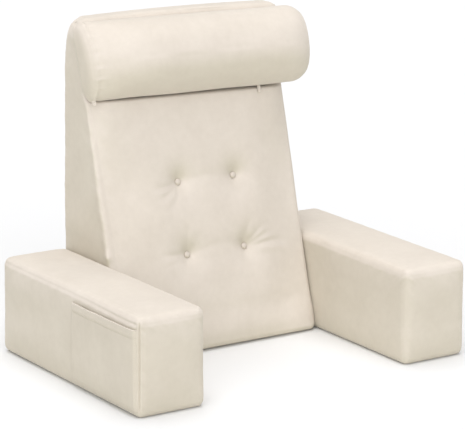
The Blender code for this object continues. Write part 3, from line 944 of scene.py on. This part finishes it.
def make_roll(material):
    at = np.linspace(-1, 1, ROLL_RINGS + 1)[1:-1]
    angles = np.arange(ROLL_SIDES) * 2 * np.pi / ROLL_SIDES
    ring_at, angle = np.meshgrid(at, angles, indexing="ij")
    body = roll_skin(ring_at.ravel(), angle.ravel())
    tips = roll_skin(np.array((-1.0, 1.0)), np.zeros(2))
    left_tip, right_tip = len(body), len(body) + 1
    index = np.arange(len(body)).reshape(len(at), ROLL_SIDES)
    beside = np.roll(index, -1, axis=1)
    quads = np.stack((index[:-1], beside[:-1], beside[1:], index[1:]), -1).reshape(-1, 4)
    faces = [tuple(f) for f in quads]
    faces += [(left_tip, b, a) for a, b in zip(index[0], beside[0])]
    faces += [(right_tip, a, b) for a, b in zip(index[-1], beside[-1])]
    points = np.concatenate((body, tips))
    piece = new_piece("neck_roll_cover", points, faces, material, "neck_roll")


# Buttons and tabs

def make_buttons(material):
    """Covered buttons: a shallow dome with the cloth drawn over a low rim."""
    turns = np.arange(BUTTON_SIDES) * 2 * np.pi / BUTTON_SIDES
    rings = BUTTON_PROFILE[1:-1]
    for name, (x, z) in zip(TUFT_NAMES, TUFTS):
        points = []
        for radius, height in BUTTON_PROFILE:
            for turn in turns if radius else (0.0,):
                across = BUTTON_RADIUS * radius * np.cos(turn)
                up = BUTTON_RADIUS * radius * np.sin(turn)
                out = np.array(TUFT_FLOOR + BUTTON_STAND + height)
                centre = on_face(np.array(x + across), np.array(z), out)
                points.append(centre + FACE_UP * up + HOME)
        faces = []
        for k in range(BUTTON_SIDES):
            a, b = 1 + k, 1 + (k + 1) % BUTTON_SIDES
            faces.append((0, a, b))
            for _ in range(len(rings) - 1):
                faces.append((b, a, a + BUTTON_SIDES, b + BUTTON_SIDES))
                a, b = a + BUTTON_SIDES, b + BUTTON_SIDES
            faces.append((b, a, len(points) - 1))
        new_piece(f"button_{name}_cover", points, faces, material, f"button_{name}")


def make_tabs(material):
    """Small cloth tabs with a turned rim: one hangs from the roll, one is sewn to the lip below."""
    s, faces = cage(TAB_CUTS)
    rim = np.maximum(np.abs(s[:, 0]), np.abs(s[:, 2]))
    thick = TAB_THICKNESS * mix(TAB_MIDDLE, 1, bump(rim, *TAB_RIM_PLACE)) * (1 - s[:, 1]) / 2
    across = s[:, 0] * (1 - TAB_CORNER_DRAW * s[:, 2] ** 2) / 2
    up = s[:, 2] * (1 - TAB_CORNER_DRAW * s[:, 0] ** 2) / 2
    x, z = LOOP_AT + across * LOOP_WIDTH, LOOP_TOP + (up - 0.5) * LOOP_DROP
    hanging = on_face(x, z, LOOP_OUT + thick)
    new_piece("tab_left_cloth", hanging + HOME, faces, material, "tab_left")
    x = LIP_TAB_AT + across * LIP_TAB_WIDTH
    foot = lip_height(LIP_TAB_AT) + LIP_TAB_LIFT - LIP_TAB_HEIGHT / 2
    low = front_relief(x, np.full_like(x, foot)) + LIP_TAB_GAP
    z, out = foot + (up + 0.5) * LIP_TAB_HEIGHT, mix(low, LIP_TAB_REACH, up + 0.5) + thick
    new_piece("tab_right_cloth", on_face(x, z, out) + HOME, faces, material, "tab_right")


# Studio

def make_floor():
    material, _, shader = new_material("floor")
    shader.inputs["Base Color"].default_value = FLOOR_COLOR
    shader.inputs["Roughness"].default_value = FLOOR_ROUGHNESS
    shader.inputs["Specular IOR Level"].default_value = FLOOR_SPECULAR
    mesh = bpy.data.meshes.new("floor")
    low, high = -FLOOR_REACH, FLOOR_REACH
    corners = [(low, low, 0), (high, low, 0), (high, high, 0), (low, high, 0)]
    mesh.from_pydata(corners, [], [(0, 1, 2, 3)])
    mesh.materials.append(material)
    floor = bpy.data.objects.new("floor", mesh)
    bpy.context.scene.collection.objects.link(floor)


def make_sun(name, place, strength, spread):
    """A broad, even studio light that shines from the direction of `place` to the origin."""
    light = bpy.data.lights.new(name, "SUN")
    light.energy = strength
    light.angle = radians(spread)
    lamp = bpy.data.objects.new(name, light)
    bpy.context.scene.collection.objects.link(lamp)
    lamp.rotation_mode = "QUATERNION"
    lamp.rotation_quaternion = Vector(place).to_track_quat("Z", "Y")


def make_world():
    world = bpy.data.worlds.new("studio")
    bpy.context.scene.world = world
    world.use_nodes = True
    shade = world.node_tree.nodes["Background"]
    shade.inputs["Color"].default_value = WORLD_COLOR
    shade.inputs["Strength"].default_value = WORLD_STRENGTH


def make_camera():
    """The photograph's view: its direction, tilt, distance and framing."""
    turn, lift, roll = radians(CAMERA_TURN), radians(CAMERA_LIFT), radians(CAMERA_ROLL)
    back = Vector((sin(turn) * cos(lift), -cos(turn) * cos(lift), sin(lift)))
    level = Vector((cos(turn), sin(turn), 0))
    upright = back.cross(level)
    right = level * cos(roll) + upright * sin(roll)
    up = upright * cos(roll) - level * sin(roll)
    eye = Vector(CAMERA_TARGET) + right * CAMERA_ASIDE + up * CAMERA_ABOVE + back * CAMERA_DISTANCE
    camera = bpy.data.cameras.new("camera")
    camera.sensor_width = SENSOR_WIDTH
    camera.lens = FOCAL_PIXELS / PHOTO_WIDTH * SENSOR_WIDTH
    camera.clip_start, camera.clip_end = CAMERA_CLIP
    holder = bpy.data.objects.new("camera", camera)
    bpy.context.scene.collection.objects.link(holder)
    axes = Matrix((right, up, back)).transposed().to_4x4()
    holder.matrix_world = Matrix.Translation(eye) @ axes
    bpy.context.scene.camera = holder


def main():
    cover = suede("cover_suede", *COVER_COLORS)
    # the buttons' cloth, darkened as painted shade
    shaded_button_cover = suede("button_suede_painted_shade", *BUTTON_SHADED_COLORS)
    make_backrest(cover)
    make_arm("arm_left", -1, cover)
    make_arm("arm_right", 1, cover)
    make_roll(cover)
    make_pocket(cover)
    make_buttons(shaded_button_cover)
    make_stitches(thread())
    make_tabs(cover)
    make_floor()
    make_world()
    for light in SUNS:
        make_sun(*light)
    bpy.context.scene.view_settings.view_transform = "Standard"
    make_camera()


main()
